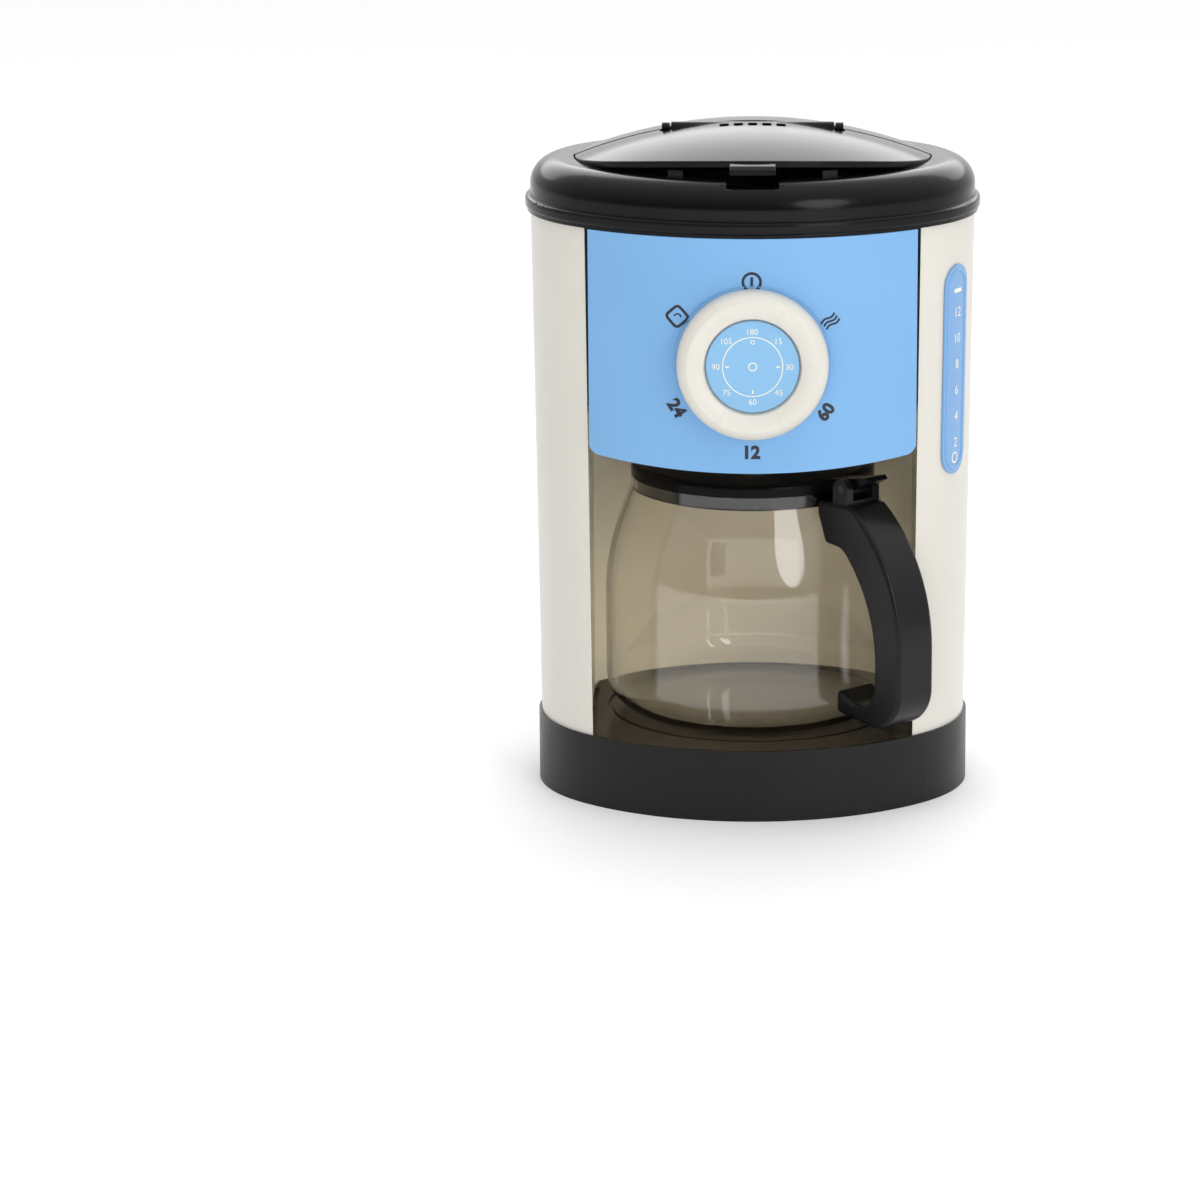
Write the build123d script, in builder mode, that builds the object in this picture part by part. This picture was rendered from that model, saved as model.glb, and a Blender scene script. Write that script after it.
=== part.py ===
from build123d import *
import os
from math import atan2, cos, degrees, hypot, radians, sin, sqrt, tan

os.makedirs("parts", exist_ok=True)

# Toy filter coffee maker. Millimetres, +Z up, front towards -Y.
# The origin is the middle of the flat underside.

# ---------------------------------------------------------------- driving dimensions

# Body plan: an oval of four tangent arcs
body_half_width = 71.8
body_half_depth = 57.6
body_side_radius = 48.0
flare_angle = 0.68
body_wall = 2.0

# Base
base_height = 24.0
base_overhang = 1.0
base_wall = 2.2
rim_depth = 2.5
deck_thickness = 2.0
cover_thickness = 2.6

# Niche that holds the jug
niche_half_width = 54.8
niche_foot_half_width = 53.3
liner_wall = 1.6
ceiling_height = 133.0
ceiling_thickness = 2.0
spout_radius = 5.0
spout_bore = 2.2
spout_length = 8.0

# Body and collar heights
body_top = 199.5
collar_bottom = 196.0
flange_bottom = 197.0
flange_top = 201.0
crest_height = 213.4
skirt_grow = 1.1
flange_grow = 1.8
shoulder_grow = 0.1
shoulder_fillet = 8.8
flange_round = 1.1
collar_wall = 2.0

# Lid dome: one sphere over an oval opening
lid_half_width = 59.5
lid_half_depth = 49.4
lid_side_radius = 43.0
dome_radius = 160.0
dome_apex = 224.7
dome_wall = 2.0
lid_gap = 0.5
lid_rest_angle = 2.5
lid_barrel_radius = 2.3
lid_pin_radius = 0.9
hinge_half_length = 27.0
ear_width = 2.6
tab_width = 14.8
tab_reach = 4.0
tab_thickness = 3.0
notch_width = 16.8
notch_depth = 2.2
notch_reach = 12.0
notch_floor = 4.5
nub_spacing = 50.0
nub_width = 5.0
vent_count = 5
vent_pitch = 4.7
vent_width = 3.0
vent_length = 6.0

# Front panel
panel_half_width = 53.7
panel_proud = 1.2
panel_thickness = 2.0
panel_hang = 14.6
panel_bow = 3.0
panel_top_gap = 0.2
panel_tongue = 3.6
panel_corner = 3.5
panel_flange_depth = 6.0

# Knob
knob_drop = 1.9
knob_radius = 24.6
knob_depth = 8.4
knob_hub_radius = 4.0
dial_radius = 15.1
dial_thickness = 1.2
dial_sink = 2.6
boss_radius = 25.3
boss_proud = 0.7
click_teeth = 24
click_wheel_radius = 9.5
click_wheel_width = 4.0
click_tooth_depth = 0.9

# Level window on the right column
window_angle = 30.0
window_height = 146.0
window_length = 70.5
window_width = 14.8
window_proud = 0.8
window_slot_margin = 2.6

# Water tank and filter basket
tank_wall = 1.6
tank_gap = 2.5
tank_rim = 203.0
tray_thickness = 1.6
basket_radius = 24.0
basket_bottom_radius = 17.0
basket_depth = 30.0
basket_centre = -5.0
basket_wall = 1.4

# Jug
jug_centre = 3.0
jug_radius = 49.9
jug_floor_radius = 37.0
jug_shoulder_start = 40.0
jug_neck_radius = 41.2
jug_neck_height = 77.0
jug_neck_length = 4.0
jug_wall = 1.8
jug_lid_rise = 5.4
jug_lid_dome = 1.5
jug_lid_skirt = 5.0
drip_hole_radius = 4.0
handle_angle = 42.0
handle_width = 16.0
handle_reach = 80.5
grip_top_reach = 57.0
grip_inner_reach = 52.0
grip_bend_share = 0.635776
grip_bend_inset = 8.0
grip_inner_bend_share = 0.679335
grip_inner_bend_inset = 18.1
grip_straight_top = 33.0
grip_straight_bottom = 19.0
grip_foot_rise = 6.2
grip_foot_inset = 12.0
hook_rise = 16.4
hook_bend_inset = 14.2
hook_bend_reach = 12.4
hook_bend_rise = 6.0
handle_block_depth = 15.5
handle_round = 1.5
jug_hinge_reach = 51.0
jug_hinge_rise = 3.2
jug_hinge_radius = 3.3
jug_hinge_width = 8.6
jug_pin_radius = 1.4

# Fits and fasteners
clearance = 0.15
running = 0.06
loose = 0.3
screw_radius = 1.25
screw_head_radius = 2.7
screw_head_height = 1.8
cover_screw_length = 12.0
body_screw_length = 14.0
panel_screw_length = 9.0
cover_screw_x = 44.0
cover_screw_y = 26.0
screw_hole_radius = 1.6
boss_wall = 2.4

# ---------------------------------------------------------------- derived values

deck_top = base_height - rim_depth


def flare_at(z):
    """How far the body's outline has grown outwards at height z."""
    return (z - deck_top) * tan(radians(flare_angle))


flare_top = flare_at(body_top)
plate_top = base_height
jug_bottom = plate_top + clearance
ceiling_top = ceiling_height + ceiling_thickness
panel_bottom = ceiling_height - panel_hang
panel_top = collar_bottom - panel_top_gap
knob_height = (panel_bottom + panel_top) / 2 - knob_drop
side_centre = body_half_width - body_side_radius
liner_back_grow = -(body_wall + loose)
niche_back_grow = liner_back_grow - liner_wall
panel_face = body_half_depth + panel_proud + flare_at(knob_height)
boss_face = panel_face + boss_proud
dome_centre = dome_apex - dome_radius
lid_axis_height = dome_apex - lid_barrel_radius
jug_rim = jug_bottom + jug_neck_height + jug_neck_length
jug_hinge_height = jug_rim + jug_hinge_rise
screw_boss_radius = screw_radius + boss_wall
lid_hinge = Axis((0, 0, lid_axis_height), (-1, 0, 0))
jug_axis = Axis((0, jug_centre, 0), (0, 0, 1))
far = 4 * body_half_width


# ---------------------------------------------------------------- shared shapes


class Oval(BaseSketchObject):
    """Four tangent arcs: two small ones at the sides, two large ones at front and back."""

    def __init__(self, half_width, half_depth, side_radius, grow=0.0, mode=Mode.ADD):
        cx = half_width - side_radius
        long_radius = (cx**2 + half_depth**2 - side_radius**2) / (2 * (half_depth - side_radius))
        cy = long_radius - half_depth
        joint_x = cx + (side_radius + grow) * cx / hypot(cx, cy)
        joint_y = (side_radius + grow) * cy / hypot(cx, cy)
        end_x = half_width + grow
        end_y = half_depth + grow
        with BuildSketch() as oval:
            with BuildLine():
                ThreePointArc((joint_x, -joint_y), (end_x, 0), (joint_x, joint_y))
                ThreePointArc((joint_x, joint_y), (0, end_y), (-joint_x, joint_y))
                ThreePointArc((-joint_x, joint_y), (-end_x, 0), (-joint_x, -joint_y))
                ThreePointArc((-joint_x, -joint_y), (0, -end_y), (joint_x, -joint_y))
            make_face()
        super().__init__(obj=oval.sketch, rotation=0, align=None, mode=mode)


class BodyOval(Oval):
    """Plan outline of the body, grown outwards by grow."""

    def __init__(self, grow=0.0, mode=Mode.ADD):
        super().__init__(body_half_width, body_half_depth, body_side_radius, grow, mode)


class LidOval(Oval):
    """Plan outline of the opening that the lid closes, grown outwards by grow."""

    def __init__(self, grow=0.0, mode=Mode.ADD):
        super().__init__(lid_half_width, lid_half_depth, lid_side_radius, grow, mode)


class FrontHalf(BaseSketchObject):
    """Rectangle of half width w that covers everything in front of y = back."""

    def __init__(self, w, back=0.0, mode=Mode.ADD):
        with BuildSketch() as half:
            with Locations((0, back)):
                Rectangle(2 * w, far, align=(Align.CENTER, Align.MAX))
        super().__init__(obj=half.sketch, rotation=0, align=None, mode=mode)


class Flared(BasePartObject):
    """Solid with the body's plan between two heights, wider at the top, grown by grow."""

    def __init__(self, bottom, top, grow=0.0, rotation=(0, 0, 0), mode=Mode.ADD):
        with BuildPart() as flared:
            for height in (bottom, top):
                with BuildSketch(Plane.XY.offset(height)):
                    BodyOval(grow + flare_at(height))
            loft(ruled=True)
        super().__init__(part=flared.part, rotation=rotation, align=None, mode=mode)


class Screw(BasePartObject):
    """Pan-head screw with a cross recess: head below its origin, shank along +Z."""

    def __init__(self, length, rotation=(0, 0, 0), mode=Mode.ADD):
        with BuildPart() as screw:
            Cylinder(screw_radius, length, align=(Align.CENTER, Align.CENTER, Align.MIN))
            Cylinder(
                screw_head_radius,
                screw_head_height,
                align=(Align.CENTER, Align.CENTER, Align.MAX),
            )
            fillet(screw.edges().sort_by(Axis.Z)[0], screw_head_height / 3)
            with BuildSketch(Plane.XY.offset(-screw_head_height)):
                Rectangle(screw_head_radius, screw_radius / 2)
                Rectangle(screw_radius / 2, screw_head_radius)
            extrude(amount=screw_head_height / 2, mode=Mode.SUBTRACT)
            chamfer(screw.edges().sort_by(Axis.Z)[-1], screw_radius / 3)
        super().__init__(part=screw.part, rotation=rotation, align=None, mode=mode)


def on_oval(x, grow=0.0):
    """Front y of the body outline, grown by grow, at x on its long front arc."""
    long_radius = (side_centre**2 + body_half_depth**2 - body_side_radius**2) / (
        2 * (body_half_depth - body_side_radius)
    )
    centre_y = long_radius - body_half_depth
    return centre_y - sqrt((long_radius + grow) ** 2 - x**2)


# ---------------------------------------------------------------- base

# Places of the screws, in plan
cover_screw_spots = [(x, y) for x in (-cover_screw_x, cover_screw_x) for y in (-cover_screw_y, cover_screw_y)]
body_screw_ring = body_side_radius - body_wall - screw_boss_radius + 0.6
body_screw_angle = 12.0
body_screw_x = side_centre + body_screw_ring * cos(radians(body_screw_angle))
body_screw_y = body_screw_ring * sin(radians(body_screw_angle))
body_screw_spots = [(x, y) for x in (-body_screw_x, body_screw_x) for y in (-body_screw_y, body_screw_y)]
screw_sink = 0.8

# Plinth: outer wall, deck that carries the body, thin rim round the body's foot
with BuildPart() as base_plinth:
    with BuildSketch():
        BodyOval(base_overhang)
    extrude(amount=base_height)
    with BuildSketch(Plane.XY.offset(deck_top)):
        BodyOval(clearance)
    extrude(amount=rim_depth, mode=Mode.SUBTRACT)
    with BuildSketch():
        BodyOval(base_overhang - base_wall)
    extrude(amount=deck_top - deck_thickness, mode=Mode.SUBTRACT)
    # Bosses for the cover's screws hang from the deck
    with BuildSketch(Plane.XY.offset(cover_thickness)):
        with Locations(cover_screw_spots):
            Circle(screw_boss_radius)
    extrude(amount=deck_top - deck_thickness / 2 - cover_thickness)
    with BuildSketch(Plane.XY.offset(cover_thickness)):
        with Locations(cover_screw_spots):
            Circle(screw_radius + running)
    extrude(amount=deck_top - deck_thickness - cover_thickness, mode=Mode.SUBTRACT)
    # Clear holes for the body's screws
    with BuildSketch(Plane.XY.offset(deck_top - deck_thickness)):
        with Locations(body_screw_spots):
            Circle(screw_hole_radius)
    extrude(amount=deck_thickness, mode=Mode.SUBTRACT)
base_plinth.part.label = "base_plinth"
export_step(base_plinth.part, "parts/base_plinth.step")

# Cover: flat underside of the whole toy, with sunk screw holes
with BuildPart() as base_cover:
    with BuildSketch():
        BodyOval(base_overhang - base_wall - clearance)
    extrude(amount=cover_thickness - clearance)
    with Locations(Plane.XY):
        with Locations(cover_screw_spots):
            Cylinder(
                screw_hole_radius,
                cover_thickness,
                align=(Align.CENTER, Align.CENTER, Align.MIN),
                mode=Mode.SUBTRACT,
            )
            Cylinder(
                screw_head_radius + loose,
                screw_sink + screw_head_height / 2,
                align=(Align.CENTER, Align.CENTER, Align.MIN),
                mode=Mode.SUBTRACT,
            )
base_cover.part.label = "base_cover"
export_step(base_cover.part, "parts/base_cover.step")

cover_screw_seat = screw_sink + screw_head_height / 2
with BuildPart() as cover_screws:
    with Locations([(x, y, cover_screw_seat) for x, y in cover_screw_spots]):
        Screw(length=cover_screw_length)
cover_screws.part.label = "cover_screws"
export_step(cover_screws.part, "parts/cover_screws.step")

with BuildPart() as body_screws:
    with Locations([(x, y, deck_top - deck_thickness) for x, y in body_screw_spots]):
        Screw(length=body_screw_length)
body_screws.part.label = "body_screws"
export_step(body_screws.part, "parts/body_screws.step")

# Hot plate: fills the niche floor, with a thin groove round the jug's place
plate_gap = loose
groove_radius = jug_radius - 0.6
groove_width = 1.4
groove_depth = 0.6
with BuildPart() as hot_plate:
    with BuildSketch(Plane.XY.offset(deck_top)):
        BodyOval(-plate_gap)
        FrontHalf(niche_foot_half_width - plate_gap, mode=Mode.INTERSECT)
        with BuildSketch(Plane.XY, mode=Mode.ADD):
            BodyOval(niche_back_grow - plate_gap)
            Rectangle(2 * (niche_foot_half_width - plate_gap), far, mode=Mode.INTERSECT)
    extrude(amount=plate_top - deck_top)
    with BuildSketch(Plane.XY.offset(plate_top)):
        with Locations((0, jug_centre)):
            Circle(groove_radius)
            Circle(groove_radius - groove_width, mode=Mode.SUBTRACT)
    extrude(amount=-groove_depth, mode=Mode.SUBTRACT)
hot_plate.part.label = "hot_plate"
export_step(hot_plate.part, "parts/hot_plate.step")

# ---------------------------------------------------------------- body

window_radius = body_side_radius + flare_at(window_height)
window_plane = Plane(
    origin=(
        side_centre + window_radius * cos(radians(window_angle)),
        -window_radius * sin(radians(window_angle)),
        window_height,
    ),
    x_dir=(0, 0, 1),
    z_dir=(cos(radians(window_angle)), -sin(radians(window_angle)), 0),
)
window_slot_length = window_length - 2 * window_slot_margin
niche_draft = degrees(atan2(niche_half_width - niche_foot_half_width, body_top - deck_top))
window_slot_width = window_width - 2 * window_slot_margin

# Housing: one C-shaped shell, open at the front between the two columns
with BuildPart() as housing:
    Flared(deck_top, body_top)
    Flared(deck_top, body_top, -body_wall, mode=Mode.SUBTRACT)
    # The opening at the front is a little wider at the top
    with BuildSketch(Plane.XY.offset(deck_top)):
        FrontHalf(niche_foot_half_width)
    extrude(amount=body_top - deck_top, taper=-niche_draft, mode=Mode.SUBTRACT)
    # Screw bosses inside the wall at the foot
    with BuildSketch(Plane.XY.offset(deck_top)):
        with Locations(body_screw_spots):
            Circle(screw_boss_radius)
            Circle(screw_radius + running, mode=Mode.SUBTRACT)
    extrude(amount=18)
    # Slot that the level window snaps into
    with BuildSketch(window_plane):
        SlotOverall(window_slot_length, window_slot_width)
    extrude(amount=3 * body_wall, both=True, mode=Mode.SUBTRACT)
housing.part.label = "housing"
export_step(housing.part, "parts/housing.step")

# Niche liner: straight side walls and a back wall that follows the housing
with BuildPart() as niche_liner:
    with BuildSketch(Plane.XY.offset(deck_top)):
        BodyOval(liner_back_grow)
        Rectangle(2 * (niche_half_width + liner_wall), far, mode=Mode.INTERSECT)
        with BuildSketch(Plane.XY, mode=Mode.SUBTRACT):
            BodyOval(niche_back_grow)
            FrontHalf(niche_half_width, mode=Mode.ADD)
            Rectangle(2 * niche_half_width, far, mode=Mode.INTERSECT)
    extrude(amount=ceiling_height - deck_top)
niche_liner.part.label = "niche_liner"
export_step(niche_liner.part, "parts/niche_liner.step")

# Ceiling of the niche, with the drip spout over the jug
knob_plane = Plane(origin=(0, -boss_face, knob_height), x_dir=(1, 0, 0), z_dir=(0, -1, 0))
boss_depth = boss_face + on_oval(boss_radius, panel_proud - panel_thickness)
panel_screw_x = 32.0
panel_skin_grow = panel_proud - panel_thickness + flare_at(ceiling_height)
panel_screw_y = on_oval(panel_screw_x, panel_skin_grow) + screw_head_radius + loose
panel_screw_spots = [(x, panel_screw_y) for x in (-panel_screw_x, panel_screw_x)]
with BuildPart() as head_floor:
    with BuildSketch(Plane.XY.offset(ceiling_height)):
        BodyOval(liner_back_grow)
        Rectangle(2 * (niche_half_width + liner_wall), far, mode=Mode.INTERSECT)
        FrontHalf(far, back=on_oval(niche_half_width) + panel_flange_depth, mode=Mode.SUBTRACT)
        with BuildSketch(Plane.XY, mode=Mode.ADD):
            BodyOval(panel_skin_grow - loose)
            FrontHalf(panel_half_width - panel_thickness - loose, mode=Mode.INTERSECT)
    extrude(amount=ceiling_thickness)
    with Locations((0, jug_centre, ceiling_height)):
        Cylinder(spout_radius, spout_length, align=(Align.CENTER, Align.CENTER, Align.MAX))
        Cylinder(spout_bore, 4 * spout_length, mode=Mode.SUBTRACT)
    with Locations([(x, y, ceiling_height) for x, y in panel_screw_spots]):
        Cylinder(screw_hole_radius, 3 * ceiling_thickness, mode=Mode.SUBTRACT)
    # Cleared for the round boss of the panel
    with BuildSketch(knob_plane):
        Circle(boss_radius + loose)
    extrude(amount=-(boss_depth + loose), mode=Mode.SUBTRACT)
head_floor.part.label = "head_floor"
export_step(head_floor.part, "parts/head_floor.step")

# ---------------------------------------------------------------- front panel

bushing_radius = knob_hub_radius + 3.0
bushing_rear = 5.0
with BuildPart() as front_panel:
    Flared(panel_bottom, panel_top, panel_proud)
    Flared(panel_bottom, panel_top, panel_proud - panel_thickness, mode=Mode.SUBTRACT)
    with BuildSketch(Plane.XY.offset(panel_bottom)):
        FrontHalf(panel_half_width)
    extrude(amount=panel_top - panel_bottom, mode=Mode.INTERSECT)
    # Side flanges that stand inside the opening of the housing
    with BuildPart(mode=Mode.PRIVATE) as flanges:
        Flared(panel_bottom, panel_top, panel_proud - panel_thickness / 2)
        with BuildSketch(Plane.XY.offset(panel_bottom)):
            FrontHalf(panel_half_width, back=on_oval(panel_half_width) + panel_flange_depth)
            Rectangle(2 * (panel_half_width - panel_thickness), far, mode=Mode.SUBTRACT)
        extrude(amount=panel_top - panel_bottom, mode=Mode.INTERSECT)
    add(flanges.part)
    # Lower edge bows down to the middle and has rounded corners
    with BuildSketch(Plane.XZ):
        with BuildLine():
            corner_z = panel_bottom + panel_bow
            Polyline(
                (-panel_half_width, corner_z),
                (-panel_half_width, panel_top),
                (panel_half_width, panel_top),
                (panel_half_width, corner_z),
            )
            ThreePointArc(
                (panel_half_width, corner_z),
                (0, panel_bottom),
                (-panel_half_width, corner_z),
            )
        make_face()
        fillet(vertices().group_by(Axis.Y)[0], panel_corner)
    extrude(amount=far, mode=Mode.INTERSECT)
    # Tongue that the collar's skirt traps
    with BuildSketch(Plane.XY.offset(panel_top - panel_tongue)):
        BodyOval(flare_top)
        BodyOval(flare_top + panel_proud - panel_thickness, mode=Mode.SUBTRACT)
        FrontHalf(panel_half_width - panel_thickness, mode=Mode.INTERSECT)
    extrude(amount=2 * panel_tongue)
    # Flat round boss that the knob turns on, with a bushing behind it
    with BuildSketch(knob_plane):
        Circle(boss_radius)
    extrude(amount=-boss_depth)
    with BuildSketch(knob_plane.offset(-panel_thickness)):
        Circle(boss_radius - panel_thickness)
    extrude(amount=-far / 4, mode=Mode.SUBTRACT)
    with BuildSketch(knob_plane):
        Circle(bushing_radius)
    extrude(amount=-bushing_rear)
    with BuildSketch(knob_plane):
        Circle(knob_hub_radius + running)
    extrude(amount=-far / 4, mode=Mode.SUBTRACT)
    # Bosses for the screws that come up through the ceiling
    with BuildSketch(Plane.XY.offset(ceiling_top)):
        with Locations(panel_screw_spots):
            Circle(screw_boss_radius)
            Circle(screw_radius + running, mode=Mode.SUBTRACT)
    extrude(amount=10)
front_panel.part.label = "front_panel"
export_step(front_panel.part, "parts/front_panel.step")

with BuildPart() as panel_screws:
    with Locations([(x, y, ceiling_height) for x, y in panel_screw_spots]):
        Screw(length=panel_screw_length)
panel_screws.part.label = "panel_screws"
export_step(panel_screws.part, "parts/panel_screws.step")

# Level window: a long capsule that snaps into the right column
with BuildPart() as level_window:
    with BuildSketch(window_plane):
        SlotOverall(window_length, window_width)
    extrude(amount=4 * body_wall, both=True)
    Flared(deck_top, body_top, window_proud, mode=Mode.INTERSECT)
    Flared(deck_top, body_top, clearance, mode=Mode.SUBTRACT)
    with BuildPart(mode=Mode.PRIVATE) as window_plug:
        with BuildSketch(window_plane):
            SlotOverall(window_slot_length - 2 * clearance, window_slot_width - 2 * clearance)
        extrude(amount=4 * body_wall, both=True)
        Flared(deck_top, body_top, window_proud / 2, mode=Mode.INTERSECT)
        Flared(deck_top, body_top, -body_wall - 0.8, mode=Mode.SUBTRACT)
    add(window_plug.part)
level_window.part.label = "level_window"
export_step(level_window.part, "parts/level_window.step")

# ---------------------------------------------------------------- tank, tray and basket

nipple_radius = spout_bore - clearance
tank_front = -(on_oval(panel_half_width) + panel_flange_depth + loose)
with BuildPart() as water_tank:
    with BuildSketch(Plane.XY.offset(ceiling_top)):
        BodyOval(-body_wall - tank_gap)
        FrontHalf(far, back=-tank_front, mode=Mode.SUBTRACT)
    extrude(amount=tank_rim - ceiling_top)
    with BuildSketch(Plane.XY.offset(ceiling_top + tank_wall)):
        BodyOval(-body_wall - tank_gap - tank_wall)
        FrontHalf(far, back=-tank_front + tank_wall, mode=Mode.SUBTRACT)
    extrude(amount=tank_rim - ceiling_top, mode=Mode.SUBTRACT)
    with Locations((0, jug_centre, ceiling_top + tank_wall)):
        Cylinder(
            nipple_radius,
            tank_wall + ceiling_thickness + spout_length / 2,
            align=(Align.CENTER, Align.CENTER, Align.MAX),
        )
        Cylinder(nipple_radius / 2, 4 * spout_length, mode=Mode.SUBTRACT)
water_tank.part.label = "water_tank"
export_step(water_tank.part, "parts/water_tank.step")

tray_top = tank_rim + tray_thickness
fill_length = 64.0
fill_width = 16.0
fill_centre = 34.0
with BuildPart() as tank_tray:
    with BuildSketch(Plane.XY.offset(tank_rim)):
        BodyOval(flare_top - body_wall - clearance)
        with Locations((0, basket_centre)):
            Circle(basket_radius + running, mode=Mode.SUBTRACT)
        with Locations((0, fill_centre)):
            SlotOverall(fill_length, fill_width, mode=Mode.SUBTRACT)
    extrude(amount=tray_thickness)
tank_tray.part.label = "tank_tray"
export_step(tank_tray.part, "parts/tank_tray.step")

basket_rim_width = 3.0
basket_slots = 8
with BuildPart() as filter_basket:
    with BuildSketch(Plane.XZ.offset(-basket_centre)):
        with BuildLine():
            Polyline(
                (0, tray_top - basket_depth),
                (basket_bottom_radius, tray_top - basket_depth),
                (basket_radius, tray_top - 4),
                (basket_radius, tray_top),
                (basket_radius + basket_rim_width, tray_top),
                (basket_radius + basket_rim_width, tray_top + basket_wall),
                (basket_radius - basket_wall, tray_top + basket_wall),
                (basket_radius - basket_wall, tray_top - 4),
                (basket_bottom_radius - basket_wall, tray_top - basket_depth + basket_wall),
                (0, tray_top - basket_depth + basket_wall),
                close=True,
            )
        make_face()
    revolve(axis=Axis((0, basket_centre, 0), (0, 0, 1)))
    with BuildSketch(Plane.XY.offset(tray_top - basket_depth)):
        with Locations((0, basket_centre)):
            with PolarLocations(basket_bottom_radius * 0.55, basket_slots):
                SlotOverall(basket_bottom_radius * 0.6, 1.6)
    extrude(amount=3 * basket_wall, mode=Mode.SUBTRACT)
filter_basket.part.label = "filter_basket"
export_step(filter_basket.part, "parts/filter_basket.step")

# ---------------------------------------------------------------- collar

throat_bottom = tray_top + basket_wall + loose
rear_edge = lid_barrel_radius + lid_gap
ear_inner = hinge_half_length + lid_gap
ear_outer = ear_inner + ear_width
ear_radius = lid_barrel_radius - 0.3
nub_depth = 3.0
nub_edge = (nub_spacing + nub_width) / 2
nub_y = lid_half_depth * sqrt(1 - (nub_edge / lid_half_width) ** 2)
nub_top = (
    dome_centre
    + sqrt((dome_radius - dome_wall) ** 2 - nub_edge**2 - nub_y**2)
    + (nub_y - nub_depth) * sin(radians(lid_rest_angle))
    - clearance
)
with BuildPart() as collar:
    with BuildSketch(Plane.XY.offset(collar_bottom)):
        BodyOval(flare_top + skirt_grow)
    extrude(amount=flange_bottom - collar_bottom)
    with BuildPart(mode=Mode.PRIVATE) as flange:
        with BuildSketch(Plane.XY.offset(flange_bottom)):
            BodyOval(flare_top + flange_grow)
        extrude(amount=flange_top - flange_bottom)
        fillet(flange.edges().filter_by(Plane.XY), flange_round)
    add(flange.part)
    with BuildSketch(Plane.XY.offset(flange_top)):
        BodyOval(flare_top + shoulder_grow)
    extrude(amount=crest_height - flange_top)
    fillet(collar.edges().filter_by(Plane.XY).group_by(Axis.Z)[-1], shoulder_fillet)
    # Hollow under the shoulder
    with BuildPart(mode=Mode.PRIVATE) as hollow:
        with BuildSketch(Plane.XY.offset(collar_bottom)):
            BodyOval(flare_top + shoulder_grow - collar_wall)
        extrude(amount=crest_height - collar_wall - collar_bottom)
        fillet(hollow.edges().filter_by(Plane.XY).group_by(Axis.Z)[-1], shoulder_fillet - collar_wall)
        with BuildSketch(Plane.XY.offset(collar_bottom)):
            BodyOval(flare_top + clearance)
        extrude(amount=body_top + clearance - collar_bottom)
    add(hollow.part, mode=Mode.SUBTRACT)
    # Throat round the opening, and the fixed rear half of the dome above it
    with BuildSketch(Plane.XY.offset(throat_bottom)):
        LidOval(collar_wall)
    extrude(amount=crest_height - collar_wall / 2 - throat_bottom)
    with BuildSketch(Plane.XY.offset(crest_height - collar_wall)):
        LidOval()
        FrontHalf(far, back=rear_edge, mode=Mode.SUBTRACT)
    extrude(amount=dome_apex - crest_height + collar_wall)
    with BuildPart(mode=Mode.PRIVATE) as dome_outside:
        with BuildSketch(Plane.XY.offset(crest_height)):
            BodyOval(flare_top + flange_grow)
        extrude(amount=dome_apex)
        with Locations((0, 0, dome_centre)):
            Sphere(dome_radius, mode=Mode.SUBTRACT)
    add(dome_outside.part, mode=Mode.SUBTRACT)
    with BuildPart(mode=Mode.PRIVATE) as dome_inside:
        with BuildSketch(Plane.XY.offset(throat_bottom - collar_wall)):
            LidOval(-collar_wall)
        extrude(amount=dome_apex)
        with Locations((0, 0, dome_centre)):
            Sphere(dome_radius - dome_wall, mode=Mode.INTERSECT)
    add(dome_inside.part, mode=Mode.SUBTRACT)
    # Opening that the lid closes
    with BuildSketch(Plane.XY.offset(throat_bottom - collar_wall)):
        LidOval()
        FrontHalf(far, back=rear_edge, mode=Mode.INTERSECT)
    extrude(amount=dome_apex, mode=Mode.SUBTRACT)
    # Ears that hold the hinge pin, tied to the edge of the rear dome
    for side in (-1, 1):
        with Locations((side * (ear_inner + ear_outer) / 2, 0, lid_axis_height)):
            Cylinder(ear_radius, ear_width, rotation=(0, 90, 0))
            Box(
                ear_width,
                rear_edge + dome_wall,
                ear_radius,
                align=(Align.CENTER, Align.MIN, Align.MAX),
            )
    with Locations((0, 0, lid_axis_height)):
        Cylinder(
            lid_pin_radius + running,
            2 * ear_outer + 1,
            rotation=(0, 90, 0),
            mode=Mode.SUBTRACT,
        )
    # Two nubs inside the throat that hold the lid's front edge up
    with BuildSketch(Plane.XY.offset(throat_bottom)):
        with Locations((-nub_spacing / 2, 0), (nub_spacing / 2, 0)):
            Rectangle(nub_width, far, align=(Align.CENTER, Align.MAX))
        LidOval(collar_wall / 2, mode=Mode.INTERSECT)
        LidOval(-nub_depth, mode=Mode.SUBTRACT)
    extrude(amount=nub_top - throat_bottom)
    # Finger notch in the crest, open to the front, with a floor under it
    with Locations((0, -lid_half_depth - collar_wall / 2, crest_height - notch_depth / 2)):
        Box(
            notch_width + 2 * collar_wall,
            notch_floor,
            notch_depth / 2 + collar_wall,
            align=(Align.CENTER, Align.MAX, Align.MAX),
        )
    with Locations((0, -lid_half_depth + collar_wall / 2, crest_height + 1)):
        Box(
            notch_width,
            notch_reach,
            notch_depth + 1,
            align=(Align.CENTER, Align.MAX, Align.MAX),
            mode=Mode.SUBTRACT,
        )
collar.part.label = "collar"
export_step(collar.part, "parts/collar.step")

# ---------------------------------------------------------------- lid

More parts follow.
